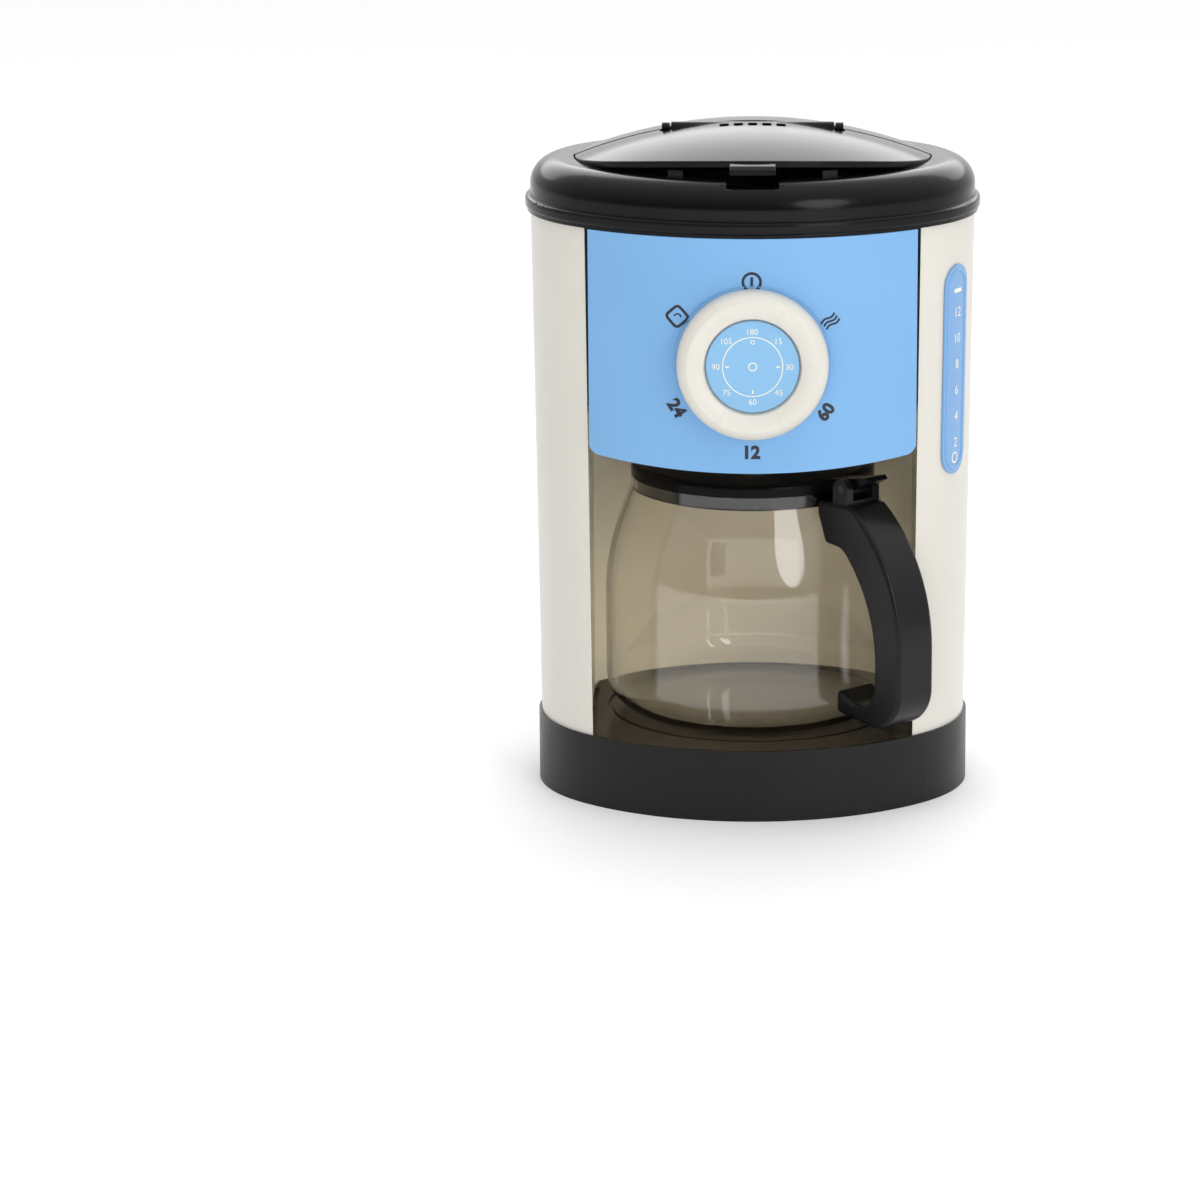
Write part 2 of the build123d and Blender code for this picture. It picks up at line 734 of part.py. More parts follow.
vent_y = -lid_barrel_radius - vent_length / 2 - 1.6
with BuildPart() as closed_lid:
    with BuildSketch(Plane.XY.offset(crest_height - dome_wall)):
        LidOval(-lid_gap)
        FrontHalf(far, back=lid_barrel_radius, mode=Mode.INTERSECT)
        Rectangle(
            2 * (ear_outer + lid_gap),
            far,
            align=(Align.CENTER, Align.MIN),
            mode=Mode.SUBTRACT,
        )
    extrude(amount=dome_apex)
    with Locations((0, 0, dome_centre)):
        Sphere(dome_radius, mode=Mode.INTERSECT)
        Sphere(dome_radius - dome_wall, mode=Mode.SUBTRACT)
    with Locations((0, 0, lid_axis_height)):
        Cylinder(lid_barrel_radius, 2 * hinge_half_length, rotation=(0, 90, 0))
    # Clear round the ears, and the pin's hole
    for side in (-1, 1):
        with Locations((side * (ear_inner + ear_outer) / 2, 0, lid_axis_height)):
            Box(
                ear_width + 2 * lid_gap,
                2 * rear_edge + 2,
                4 * lid_barrel_radius,
                mode=Mode.SUBTRACT,
            )
    with Locations((0, 0, lid_axis_height)):
        Cylinder(lid_pin_radius + running, 2 * ear_outer, rotation=(0, 90, 0), mode=Mode.SUBTRACT)
    # Vents
    with BuildSketch(Plane.XY.offset(lid_axis_height - lid_barrel_radius)):
        with Locations((0, vent_y)):
            with GridLocations(vent_pitch, 1, vent_count, 1):
                RectangleRounded(vent_width, vent_length, vent_width / 4)
    extrude(amount=dome_apex, mode=Mode.SUBTRACT)
    # Finger tab on the front edge
    tab_top = dome_centre + sqrt(dome_radius**2 - lid_half_depth**2)
    with BuildSketch(Plane.YZ.offset(-tab_width / 2)):
        with BuildLine():
            Polyline(
                (-lid_half_depth + 3, tab_top + 0.2),
                (-lid_half_depth - tab_reach + 1.6, tab_top - 1.2),
                (-lid_half_depth - tab_reach, tab_top - 2.4),
                (-lid_half_depth - tab_reach, tab_top - tab_thickness - 1.0),
                (-lid_half_depth + 3, tab_top - tab_thickness + 0.6),
                close=True,
            )
        make_face()
    extrude(amount=tab_width)

# At rest its front edge lies on the nubs, a little above the crest
with BuildPart() as lid:
    add(closed_lid.part.rotate(lid_hinge, lid_rest_angle))
lid.part.label = "lid"
export_step(lid.part, "parts/lid.step")

with BuildPart() as lid_pin:
    with Locations((0, 0, lid_axis_height)):
        Cylinder(lid_pin_radius, 2 * ear_outer - 0.4, rotation=(0, 90, 0))
    chamfer(lid_pin.edges().filter_by(GeomType.CIRCLE), lid_pin_radius / 3)
lid_pin.part.label = "lid_pin"
export_step(lid_pin.part, "parts/lid_pin.step")

# ---------------------------------------------------------------- knob

wheel_front = bushing_rear + clearance
hub_rear = wheel_front + click_wheel_width + running
washer_radius = knob_hub_radius + 1.4
washer_thickness = 0.8
knob_lift = loose
crest_radius = (knob_radius + dial_radius) / 2 + 1.6
lip_radius = dial_radius + 0.8
with BuildPart() as knob_ring:
    with BuildSketch(Plane.YZ):
        with BuildLine():
            face = -boss_face - knob_lift
            crest = -boss_face - knob_depth
            seat = crest + dial_sink + dial_thickness
            Line((face, knob_height), (face, knob_height + knob_radius - 0.6))
            Line((face, knob_height + knob_radius - 0.6), (face - 0.6, knob_height + knob_radius))
            Line((face - 0.6, knob_height + knob_radius), (face - 3.0, knob_height + knob_radius))
            ThreePointArc(
                (face - 3.0, knob_height + knob_radius),
                (crest + 1.3, knob_height + knob_radius - 1.5),
                (crest, knob_height + crest_radius),
            )
            ThreePointArc(
                (crest, knob_height + crest_radius),
                (crest + 0.5, knob_height + (crest_radius + lip_radius) / 2 - 0.6),
                (crest + 1.6, knob_height + lip_radius),
            )
            Line((crest + 1.6, knob_height + lip_radius), (seat, knob_height + dial_radius + clearance))
            Line((seat, knob_height + dial_radius + clearance), (seat, knob_height))
            Line((seat, knob_height), (face, knob_height))
        make_face()
    revolve(axis=Axis((0, 0, knob_height), (0, 1, 0)))
    with BuildSketch(knob_plane.offset(knob_depth / 3)):
        Circle(knob_hub_radius)
    extrude(amount=-(hub_rear + knob_depth / 3))
    with BuildSketch(knob_plane.offset(-hub_rear)):
        Circle(screw_radius + running)
    extrude(amount=hub_rear - 2, mode=Mode.SUBTRACT)
knob_ring.part.label = "knob_ring"
export_step(knob_ring.part, "parts/knob_ring.step")

with BuildPart() as dial_disc:
    with BuildSketch(knob_plane.offset(knob_depth - dial_sink)):
        Circle(dial_radius)
    extrude(amount=-dial_thickness)
    fillet(dial_disc.edges().sort_by(Axis.Y)[0], 0.3)
dial_disc.part.label = "dial_disc"
export_step(dial_disc.part, "parts/dial_disc.step")

# Click wheel: scalloped rim pressed on the hub behind the panel
with BuildPart() as click_wheel:
    with BuildSketch(knob_plane.offset(-wheel_front)):
        Circle(click_wheel_radius)
        with PolarLocations(click_wheel_radius + click_tooth_depth / 3, click_teeth):
            Circle(click_tooth_depth, mode=Mode.SUBTRACT)
        Circle(knob_hub_radius + 0.02, mode=Mode.SUBTRACT)
    extrude(amount=-click_wheel_width)
click_wheel.part.label = "click_wheel"
export_step(click_wheel.part, "parts/click_wheel.step")

with BuildPart() as knob_screw:
    with BuildSketch(knob_plane.offset(-hub_rear)):
        Circle(washer_radius)
    extrude(amount=-washer_thickness)
    with Locations(knob_plane.offset(-hub_rear - washer_thickness)):
        Screw(length=hub_rear - 2)
knob_screw.part.label = "knob_screw"
export_step(knob_screw.part, "parts/knob_screw.step")

# Click spring: a bent leaf on a post, its nose just off the wheel's teeth
leaf = 0.8
post_x = -14.0
post_y = click_wheel_radius + 5.0
with BuildPart() as click_spring:
    with BuildSketch(knob_plane.offset(-wheel_front - 0.5)):
        with BuildLine():
            Polyline(
                (post_x, post_y),
                (-5, click_wheel_radius + 2.4),
                (0, click_wheel_radius + clearance),
                (1.0, click_wheel_radius + clearance + 0.4),
                (1.0, click_wheel_radius + clearance + 1.4),
                (-5, click_wheel_radius + 2.4 + leaf),
                (post_x, post_y + leaf),
                close=True,
            )
        make_face()
    extrude(amount=-(click_wheel_width - 1))
    with BuildSketch(knob_plane.offset(-panel_thickness)):
        with Locations((post_x, post_y + leaf / 2)):
            Circle(2.2)
    extrude(amount=-(wheel_front + click_wheel_width - panel_thickness))
click_spring.part.label = "click_spring"
export_step(click_spring.part, "parts/click_spring.step")

# ---------------------------------------------------------------- jug

radial = Vector(sin(radians(handle_angle)), -cos(radians(handle_angle)), 0)
handle_plane = Plane(
    origin=(0, jug_centre, 0),
    x_dir=radial,
    z_dir=radial.cross(Vector(0, 0, 1)),
)
jug_corner = jug_radius - jug_floor_radius


def jug_outline(inset):
    """Half section of the jug's outside, moved inwards by inset, from floor to rim."""
    shoulder = jug_bottom + jug_shoulder_start
    neck = jug_bottom + jug_neck_height
    floor = jug_bottom + inset
    with BuildLine() as outline:
        Line((0, floor), (jug_floor_radius, floor))
        RadiusArc(
            (jug_floor_radius, floor),
            (jug_radius - inset, jug_bottom + jug_corner),
            inset - jug_corner,
        )
        Line((jug_radius - inset, jug_bottom + jug_corner), (jug_radius - inset, shoulder))
        Spline(
            (jug_radius - inset, shoulder),
            (jug_neck_radius - inset, neck),
            tangents=((0, 1), (-0.36, 0.93)),
        )
        Line((jug_neck_radius - inset, neck), (jug_neck_radius - inset, jug_rim))
    return outline.line


lug_width = 8.0
lug_reach = 6.0
lug_bottom = jug_bottom + jug_neck_height - 6.0
with BuildPart() as jug_body:
    with BuildSketch(Plane.XZ.offset(-jug_centre)):
        with BuildLine():
            add(jug_outline(0))
            Line((jug_neck_radius, jug_rim), (0, jug_rim))
            Line((0, jug_rim), (0, jug_bottom))
        make_face()
    revolve(axis=jug_axis)
    # Lug that the handle slides onto
    with BuildSketch(Plane.XY.offset(lug_bottom)):
        with Locations(Location((0, jug_centre), -90 + handle_angle)):
            Rectangle(jug_neck_radius + lug_reach, lug_width, align=(Align.MIN, Align.CENTER))
    extrude(amount=jug_rim - 3 - lug_bottom)
    with BuildSketch(Plane.XZ.offset(-jug_centre)):
        with BuildLine():
            add(jug_outline(jug_wall))
            Line((jug_neck_radius - jug_wall, jug_rim), (0, jug_rim))
            Line((0, jug_rim), (0, jug_bottom + jug_wall))
        make_face()
    revolve(axis=jug_axis, mode=Mode.SUBTRACT)
jug_body.part.label = "jug_body"
export_step(jug_body.part, "parts/jug_body.step")

# Handle: block at the neck, curved grip, hooked foot that stops short of the jug
block_face = jug_neck_radius + loose
block_bottom = jug_rim - handle_block_depth
block_top = jug_rim - 1.6
grip_foot = jug_bottom + grip_foot_rise
hook_top = jug_bottom + hook_rise
grip_inner_top = block_bottom - 1.0
grip_inner_foot = hook_top + hook_bend_rise
grip_shoulder = jug_bottom + grip_straight_top
grip_bend = grip_shoulder + grip_bend_share * (block_top - grip_shoulder)
grip_inner_bend = grip_inner_foot + grip_inner_bend_share * (grip_inner_top - grip_inner_foot)
jug_ear_radius = jug_hinge_radius + 0.2
with BuildPart() as jug_handle:
    with BuildSketch(handle_plane):
        with BuildLine():
            Line((block_face, block_bottom), (block_face, block_top))
            Line((block_face, block_top), (grip_top_reach, block_top))
            ThreePointArc(
                (grip_top_reach, block_top),
                (handle_reach - grip_bend_inset, grip_bend),
                (handle_reach, grip_shoulder),
            )
            Line((handle_reach, grip_shoulder), (handle_reach, jug_bottom + grip_straight_bottom))
            ThreePointArc(
                (handle_reach, jug_bottom + grip_straight_bottom),
                (handle_reach - 3.6, jug_bottom + 10.6),
                (handle_reach - grip_foot_inset, grip_foot),
            )
            Line((handle_reach - grip_foot_inset, grip_foot), (jug_radius + loose, grip_foot + 2.2))
            Line((jug_radius + loose, grip_foot + 2.2), (jug_radius + loose, hook_top))
            Line((jug_radius + loose, hook_top), (grip_top_reach, hook_top - 2.6))
            ThreePointArc(
                (grip_top_reach, hook_top - 2.6),
                (handle_reach - hook_bend_inset, hook_top - 0.6),
                (handle_reach - hook_bend_reach, grip_inner_foot),
            )
            ThreePointArc(
                (handle_reach - hook_bend_reach, grip_inner_foot),
                (handle_reach - grip_inner_bend_inset, grip_inner_bend),
                (grip_inner_reach, grip_inner_top),
            )
            Line((grip_inner_reach, grip_inner_top), (block_face, block_bottom))
        make_face()
    extrude(amount=handle_width / 2, both=True)
    across = Axis(handle_plane.origin, handle_plane.z_dir)
    for x, z, corner_radius in (
        (grip_top_reach, block_top, 4.0),
        (grip_inner_reach, grip_inner_top, 7.0),
        (jug_radius + loose, hook_top, 1.2),
        (jug_radius + loose, grip_foot + 2.2, 2.0),
        (handle_reach - grip_foot_inset, grip_foot, 5.0),
    ):
        corner = handle_plane.from_local_coords((x, z, 0))
        fillet(jug_handle.edges().filter_by(across).sort_by_distance(corner)[0], corner_radius)
    sides = jug_handle.faces().filter_by(handle_plane)
    grip_edges = [
        edge for edge in sides.edges() if handle_plane.to_local_coords(edge.center()).X > block_face + 1
    ]
    fillet(grip_edges, handle_round)
    # Hollowed to the jug's shoulder
    with BuildSketch(Plane.XZ.offset(-jug_centre)):
        with BuildLine():
            add(jug_outline(-loose))
            Line((jug_neck_radius + loose, jug_rim), (0, jug_rim))
            Line((0, jug_rim), (0, jug_bottom - loose))
        make_face()
    revolve(axis=jug_axis, mode=Mode.SUBTRACT)
    # Pocket for the jug's lug
    with BuildSketch(Plane.XY.offset(lug_bottom - clearance)):
        with Locations(Location((0, jug_centre), -90 + handle_angle)):
            Rectangle(
                jug_neck_radius + lug_reach + clearance,
                lug_width + 2 * clearance,
                align=(Align.MIN, Align.CENTER),
            )
    extrude(amount=jug_rim - 3 - lug_bottom + 2 * clearance, mode=Mode.SUBTRACT)
    # Two ears that carry the lid's pin
    with BuildSketch(handle_plane):
        with BuildLine():
            Polyline(
                (jug_hinge_reach - jug_ear_radius, block_top - 1),
                (jug_hinge_reach - jug_ear_radius, jug_hinge_height),
            )
            ThreePointArc(
                (jug_hinge_reach - jug_ear_radius, jug_hinge_height),
                (jug_hinge_reach, jug_hinge_height + jug_ear_radius),
                (jug_hinge_reach + jug_ear_radius, jug_hinge_height),
            )
            Polyline(
                (jug_hinge_reach + jug_ear_radius, jug_hinge_height),
                (jug_hinge_reach + jug_ear_radius, block_top - 1),
                (jug_hinge_reach - jug_ear_radius, block_top - 1),
            )
        make_face()
    extrude(amount=handle_width / 2 - 0.8, both=True)
    with BuildSketch(handle_plane):
        with Locations((jug_hinge_reach, jug_hinge_height)):
            Rectangle(4 * jug_ear_radius, 2 * (jug_hinge_radius + loose))
    extrude(amount=jug_hinge_width / 2 + clearance, both=True, mode=Mode.SUBTRACT)
    with BuildSketch(handle_plane):
        with Locations((jug_hinge_reach, jug_hinge_height)):
            Circle(jug_pin_radius + running)
    extrude(amount=handle_width, both=True, mode=Mode.SUBTRACT)
jug_handle.part.label = "jug_handle"
export_step(jug_handle.part, "parts/jug_handle.step")

with BuildPart() as jug_lid_pin:
    with BuildSketch(handle_plane):
        with Locations((jug_hinge_reach, jug_hinge_height)):
            Circle(jug_pin_radius)
    extrude(amount=handle_width / 2 - 1.0, both=True)
jug_lid_pin.part.label = "jug_lid_pin"
export_step(jug_lid_pin.part, "parts/jug_lid_pin.step")

# Jug lid: shallow cap with a plug skirt, a funnel to the drip hole, and a hinge arm
lid_base = jug_rim + clearance
lid_top = lid_base + jug_lid_rise
plug_radius = jug_neck_radius - jug_wall - loose
funnel_radius = 16.0
funnel_depth = 2.0
lid_skin = 1.8
with BuildPart() as jug_lid:
    with BuildSketch(Plane.XZ.offset(-jug_centre)):
        with BuildLine():
            Polyline(
                (drip_hole_radius, lid_top - funnel_depth),
                (funnel_radius - funnel_depth, lid_top - funnel_depth + 0.6),
                (funnel_radius, lid_top + jug_lid_dome),
            )
            ThreePointArc(
                (funnel_radius, lid_top + jug_lid_dome),
                (0.72 * jug_neck_radius, lid_top + 0.7 * jug_lid_dome),
                (jug_neck_radius - 1.6, lid_top - 0.8),
            )
            RadiusArc((jug_neck_radius - 1.6, lid_top - 0.8), (jug_neck_radius, lid_top - 2.8), 2.2)
            Polyline(
                (jug_neck_radius, lid_top - 2.8),
                (jug_neck_radius, lid_base),
                (plug_radius, lid_base),
                (plug_radius, lid_base - jug_lid_skirt),
                (plug_radius - lid_skin, lid_base - jug_lid_skirt),
                (plug_radius - lid_skin, lid_top - lid_skin - 1.4),
                (funnel_radius, lid_top - lid_skin),
                (funnel_radius - 2, lid_top - funnel_depth - lid_skin),
                (drip_hole_radius, lid_top - funnel_depth - lid_skin),
                (drip_hole_radius, lid_top - funnel_depth),
            )
        make_face()
    revolve(axis=jug_axis)
    with BuildSketch(handle_plane):
        with BuildLine():
            Polyline(
                (jug_neck_radius - 2.0, lid_base + 0.6),
                (jug_neck_radius - 2.0, lid_top - 1.2),
                (jug_hinge_reach, jug_hinge_height + jug_hinge_radius),
                (jug_hinge_reach + 9.5, jug_hinge_height + 5.2),
                (jug_hinge_reach + 10.8, jug_hinge_height + 4.0),
                (jug_hinge_reach + jug_hinge_radius, jug_hinge_height),
                (jug_hinge_reach, jug_hinge_height - 0.5),
                close=True,
            )
        make_face()
        with Locations((jug_hinge_reach, jug_hinge_height)):
            Circle(jug_hinge_radius)
            Circle(jug_pin_radius + running, mode=Mode.SUBTRACT)
    extrude(amount=jug_hinge_width / 2, both=True)
jug_lid.part.label = "jug_lid"
export_step(jug_lid.part, "parts/jug_lid.step")
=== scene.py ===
import math

import bmesh
import bpy
import numpy as np
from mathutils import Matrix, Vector


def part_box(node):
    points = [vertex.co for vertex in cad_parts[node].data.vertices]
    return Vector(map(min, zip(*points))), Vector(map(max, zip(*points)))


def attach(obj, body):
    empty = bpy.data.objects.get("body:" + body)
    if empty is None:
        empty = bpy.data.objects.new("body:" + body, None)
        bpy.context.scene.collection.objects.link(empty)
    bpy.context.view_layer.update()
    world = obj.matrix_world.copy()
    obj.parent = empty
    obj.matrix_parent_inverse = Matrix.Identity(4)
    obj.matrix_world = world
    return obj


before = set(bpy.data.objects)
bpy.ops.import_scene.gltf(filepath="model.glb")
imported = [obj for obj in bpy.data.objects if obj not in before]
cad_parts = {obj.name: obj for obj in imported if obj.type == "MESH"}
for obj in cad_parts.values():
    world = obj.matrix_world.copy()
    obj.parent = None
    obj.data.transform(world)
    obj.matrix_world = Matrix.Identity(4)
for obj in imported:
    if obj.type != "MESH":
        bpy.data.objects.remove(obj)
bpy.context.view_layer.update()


# ------------------------------------------------------------------ studio floor
# A wide pale painted board that the toy stands on.
# It is only the stage: matt, nearly white, with the faintest unevenness.

floor_size = 9.0
floor_mesh = bpy.data.meshes.new("studio_floor")
corner = floor_size / 2
floor_mesh.from_pydata(
    [(-corner, -corner, 0), (corner, -corner, 0), (corner, corner, 0), (-corner, corner, 0)],
    [],
    [(0, 1, 2, 3)],
)
studio_floor = bpy.data.objects.new("studio_floor", floor_mesh)
bpy.context.scene.collection.objects.link(studio_floor)
board = bpy.data.materials.new("painted_board")
board.use_nodes = True
board_shader = board.node_tree.nodes["Principled BSDF"]
board_shader.inputs["Roughness"].default_value = 0.7
board_place = board.node_tree.nodes.new("ShaderNodeTexCoord")
board_cloud = board.node_tree.nodes.new("ShaderNodeTexNoise")
board_cloud.inputs["Scale"].default_value = 3.0
board_tone = board.node_tree.nodes.new("ShaderNodeValToRGB")
board_tone.color_ramp.elements[0].color = (0.945, 0.945, 0.945, 1)
board_tone.color_ramp.elements[1].color = (0.965, 0.965, 0.965, 1)
board.node_tree.links.new(board_place.outputs["Object"], board_cloud.inputs["Vector"])
board.node_tree.links.new(board_cloud.outputs["Fac"], board_tone.inputs["Fac"])
board.node_tree.links.new(board_tone.outputs["Color"], board_shader.inputs["Base Color"])
floor_mesh.materials.append(board)


# ------------------------------------------------------------------ camera and lamps
# A long lens looks down by 14 degrees from the front, with the toy right of its middle.
# A softbox stands to the front right, a wide low fill in front, a weak one overhead,
# and a broad card above and behind that only the gloss mirrors.

camera_data = bpy.data.cameras.new("camera")
camera = bpy.data.objects.new("camera", camera_data)
bpy.context.scene.collection.objects.link(camera)
bpy.context.scene.camera = camera
camera_data.sensor_width = 36.0
camera_data.lens = 148.08
camera_data.clip_start = 0.01
camera_data.clip_end = 60.0
camera_data.shift_x = -0.1272
look_down = 0.247
camera.location = (0.0, -1.626, 0.471)
camera.rotation_euler = (math.pi / 2 - look_down, 0.0, 0.0)

# The room's brightness is even_light plus the ray's direction times light_slope:
# brighter above and behind the toy than on the camera's side
even_light = 0.50
light_slope = (0.14, 0.46, 0.74)
surroundings = bpy.data.worlds.new("white_studio")
bpy.context.scene.world = surroundings
surroundings.use_nodes = True
room = surroundings.node_tree
room_way = room.nodes.new("ShaderNodeTexCoord")
room_slope = room.nodes.new("ShaderNodeVectorMath")
room_slope.operation = "DOT_PRODUCT"
room_slope.inputs[1].default_value = light_slope
room_level = room.nodes.new("ShaderNodeMath")
room_level.operation = "ADD"
room_level.inputs[1].default_value = even_light
room.links.new(room_way.outputs["Generated"], room_slope.inputs[0])
room.links.new(room_slope.outputs["Value"], room_level.inputs[0])
room.links.new(room_level.outputs["Value"], room.nodes["Background"].inputs["Strength"])
room.nodes["Background"].inputs["Color"].default_value = (1.0, 1.0, 1.0, 1.0)
bpy.context.scene.view_settings.view_transform = "Standard"


def softbox(name, place, aim, width, height, watts, lights=True, mirrored=True):
    """Area lamp of that width and height at place, facing aim.

    Without lights it is a reflector card that shows in gloss and lights nothing,
    and one that isn't mirrored is a fill that leaves the gloss alone.
    """
    lamp = bpy.data.lights.new(name, "AREA")
    lamp.shape = "ELLIPSE"
    lamp.size = width
    lamp.size_y = height
    lamp.energy = watts
    stand = bpy.data.objects.new(name, lamp)
    stand.location = place
    stand.rotation_euler = (Vector(aim) - Vector(place)).to_track_quat("-Z", "Y").to_euler()
    stand.visible_camera = False
    stand.visible_diffuse = lights
    stand.visible_glossy = mirrored
    stand.visible_transmission = mirrored
    bpy.context.scene.collection.objects.link(stand)


softbox("key_softbox", (0.78, -1.26, 0.62), (0.0, 0.0, 0.12), 0.65, 0.9, 5.0)
softbox("front_fill", (-0.15, -2.20, 0.20), (0.0, 0.0, 0.08), 2.6, 0.6, 20.0, mirrored=False)
softbox("overhead_softbox", (0.05, -0.75, 1.55), (0.0, 0.0, 0.15), 0.9, 0.6, 3.0, mirrored=False)
softbox("top_reflector", (0.0, 1.45, 1.10), (0.0, 0.0, 0.20), 4.0, 1.2, 24.0, lights=False)


# ------------------------------------------------------------------ base
# Plinth and flat cover of the toy, injection moulded in black plastic with a satin,
# very finely etched surface. The cover is screwed on from below.


def moulded(
    name, colour, roughness, vary=0.06, grain=0.06, grain_scale=2600.0, edge=0.00025, gloss_level=0.5
):
    """Node material of moulded plastic.

    The colour drifts by vary between a darker and a lighter cloud, the roughness
    follows a second cloud, and the etched grain and the softened edges are bumps.
    gloss_level is how strongly the bare surface mirrors, 0.5 for a clean plastic.
    """
    material = bpy.data.materials.new(name)
    material.use_nodes = True
    tree = material.node_tree
    shader = tree.nodes["Principled BSDF"]
    shader.inputs["Specular IOR Level"].default_value = gloss_level
    place = tree.nodes.new("ShaderNodeTexCoord")
    cloud = tree.nodes.new("ShaderNodeTexNoise")
    cloud.inputs["Scale"].default_value = 18.0
    cloud.inputs["Detail"].default_value = 4.0
    tone = tree.nodes.new("ShaderNodeValToRGB")
    tone.color_ramp.elements[0].position = 0.3
    tone.color_ramp.elements[1].position = 0.7
    tone.color_ramp.elements[0].color = tuple(c * (1.0 - vary) for c in colour) + (1.0,)
    tone.color_ramp.elements[1].color = tuple(min(1.0, c * (1.0 + vary)) for c in colour) + (1.0,)
    handling = tree.nodes.new("ShaderNodeTexNoise")
    handling.inputs["Scale"].default_value = 55.0
    handling.inputs["Detail"].default_value = 3.0
    gloss = tree.nodes.new("ShaderNodeMapRange")
    gloss.inputs["From Min"].default_value = 0.3
    gloss.inputs["From Max"].default_value = 0.7
    gloss.inputs["To Min"].default_value = roughness * 0.88
    gloss.inputs["To Max"].default_value = roughness * 1.12
    etch = tree.nodes.new("ShaderNodeTexNoise")
    etch.inputs["Scale"].default_value = grain_scale
    etch.inputs["Detail"].default_value = 2.0
    rounded = tree.nodes.new("ShaderNodeBevel")
    rounded.samples = 4
    rounded.inputs["Radius"].default_value = edge
    bump = tree.nodes.new("ShaderNodeBump")
    bump.inputs["Strength"].default_value = grain
    bump.inputs["Distance"].default_value = 0.0001
    for source in (cloud, handling, etch):
        tree.links.new(place.outputs["Object"], source.inputs["Vector"])
    tree.links.new(cloud.outputs["Fac"], tone.inputs["Fac"])
    tree.links.new(tone.outputs["Color"], shader.inputs["Base Color"])
    tree.links.new(handling.outputs["Fac"], gloss.inputs["Value"])
    tree.links.new(gloss.outputs["Result"], shader.inputs["Roughness"])
    tree.links.new(etch.outputs["Fac"], bump.inputs["Height"])
    tree.links.new(rounded.outputs["Normal"], bump.inputs["Normal"])
    tree.links.new(bump.outputs["Normal"], shader.inputs["Normal"])
    return material


def finish_nodes(material, *names):
    """Gives CAD nodes that material, in place of the plain one they came with."""
    for name in names:
        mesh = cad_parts[name].data
        mesh.materials.clear()
        mesh.materials.append(material)


etched_black = moulded("etched_black", (0.0060, 0.0058, 0.0060), 0.40, grain=0.10, gloss_level=0.28)
finish_nodes(etched_black, "base_plinth", "base_cover")


# ------------------------------------------------------------------ screws
# Small pan-head screws of zinc-plated steel, driven from below and from inside.
# The plating is bright and a little uneven.

zinc_plate = moulded("zinc_plate", (0.55, 0.56, 0.58), 0.28, vary=0.10, grain=0.04, grain_scale=900.0)
zinc_plate.node_tree.nodes["Principled BSDF"].inputs["Metallic"].default_value = 1.0
finish_nodes(zinc_plate, "cover_screws", "body_screws", "panel_screws", "knob_screw")


# ------------------------------------------------------------------ hot plate
# Make-believe hot plate, a separate smooth moulding in a dark olive brown.
# It lies on the deck between the columns and has a thin ring for the jug.

plate_brown = moulded("plate_brown", (0.014, 0.010, 0.006), 0.22, vary=0.08, grain=0.02, gloss_level=0.08)
finish_nodes(plate_brown, "hot_plate")


# ------------------------------------------------------------------ housing
# The C-shaped body shell, moulded in cream plastic with a soft pearly sheen.
# It stands in the base, and screws from below hold its foot.

pearl_cream = moulded("pearl_cream", (0.62, 0.597, 0.54), 0.34, vary=0.015, grain=0.03)
pearl_cream.node_tree.nodes["Principled BSDF"].inputs["Coat Weight"].default_value = 0.25
pearl_cream.node_tree.nodes["Principled BSDF"].inputs["Coat Roughness"].default_value = 0.22
finish_nodes(pearl_cream, "housing")


# ------------------------------------------------------------------ niche lining
# Side and back walls of the niche and its ceiling with the drip spout,
# two mouldings with a satin surface that line the housing. Their light beige, much lighter
# than the housing's cream, is painted light that stands in for the light filling the niche.

# Painted light: this beige is much lighter than the housing's cream, standing in for light in the niche
niche_painted_light = moulded("niche_painted_light", (0.95, 0.87, 0.69), 0.42, vary=0.02, grain=0.05)
finish_nodes(niche_painted_light, "niche_liner", "head_floor")


# ------------------------------------------------------------------ front panel
# Bowed panel in pale blue plastic with a satin surface; it carries the knob.
# Its screws come up through the ceiling of the niche.

panel_blue = moulded("panel_blue", (0.166, 0.370, 0.640), 0.38, vary=0.02, grain=0.05)
finish_nodes(panel_blue, "front_panel")


# ------------------------------------------------------------------ print on the panel
# Black pad print: on-off ring and bar above the knob, a cup sign and a steam sign at
# its upper sides, and three plain numbers round its lower half. The film is a few
# hundredths of a millimetre thick.

mm = 0.001
# The panel's bow and the boss under the knob, as the solids have them
arc_centre_y = 24.702 * mm
arc_radius = 82.302 * mm
panel_grow = 1.2 * mm
flare = math.tan(math.radians(0.68))
flare_start = 21.5 * mm
boss_y = -61.087 * mm
boss_radius = 25.3 * mm
knob_low, knob_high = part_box("knob_ring")
knob_z = (knob_low.z + knob_high.z) / 2
# The face of the film stands this far out, and the film fills this share of it
film = 0.05 * mm
film_filled = 0.9


def on_panel(across, height, proud):
    """Point on the panel: on a vertical cylinder whose radius grows with height,
    or on the flat round boss under the knob, whichever stands further forward.
    """
    radius = arc_radius + panel_grow + (height - flare_start) * flare + proud
    bowed = arc_centre_y - np.sqrt(radius**2 - across**2)
    boss = np.where(np.hypot(across, height - knob_z) < boss_radius, boss_y - proud, bowed)
    return np.stack([across, np.minimum(bowed, boss), height], axis=-1)


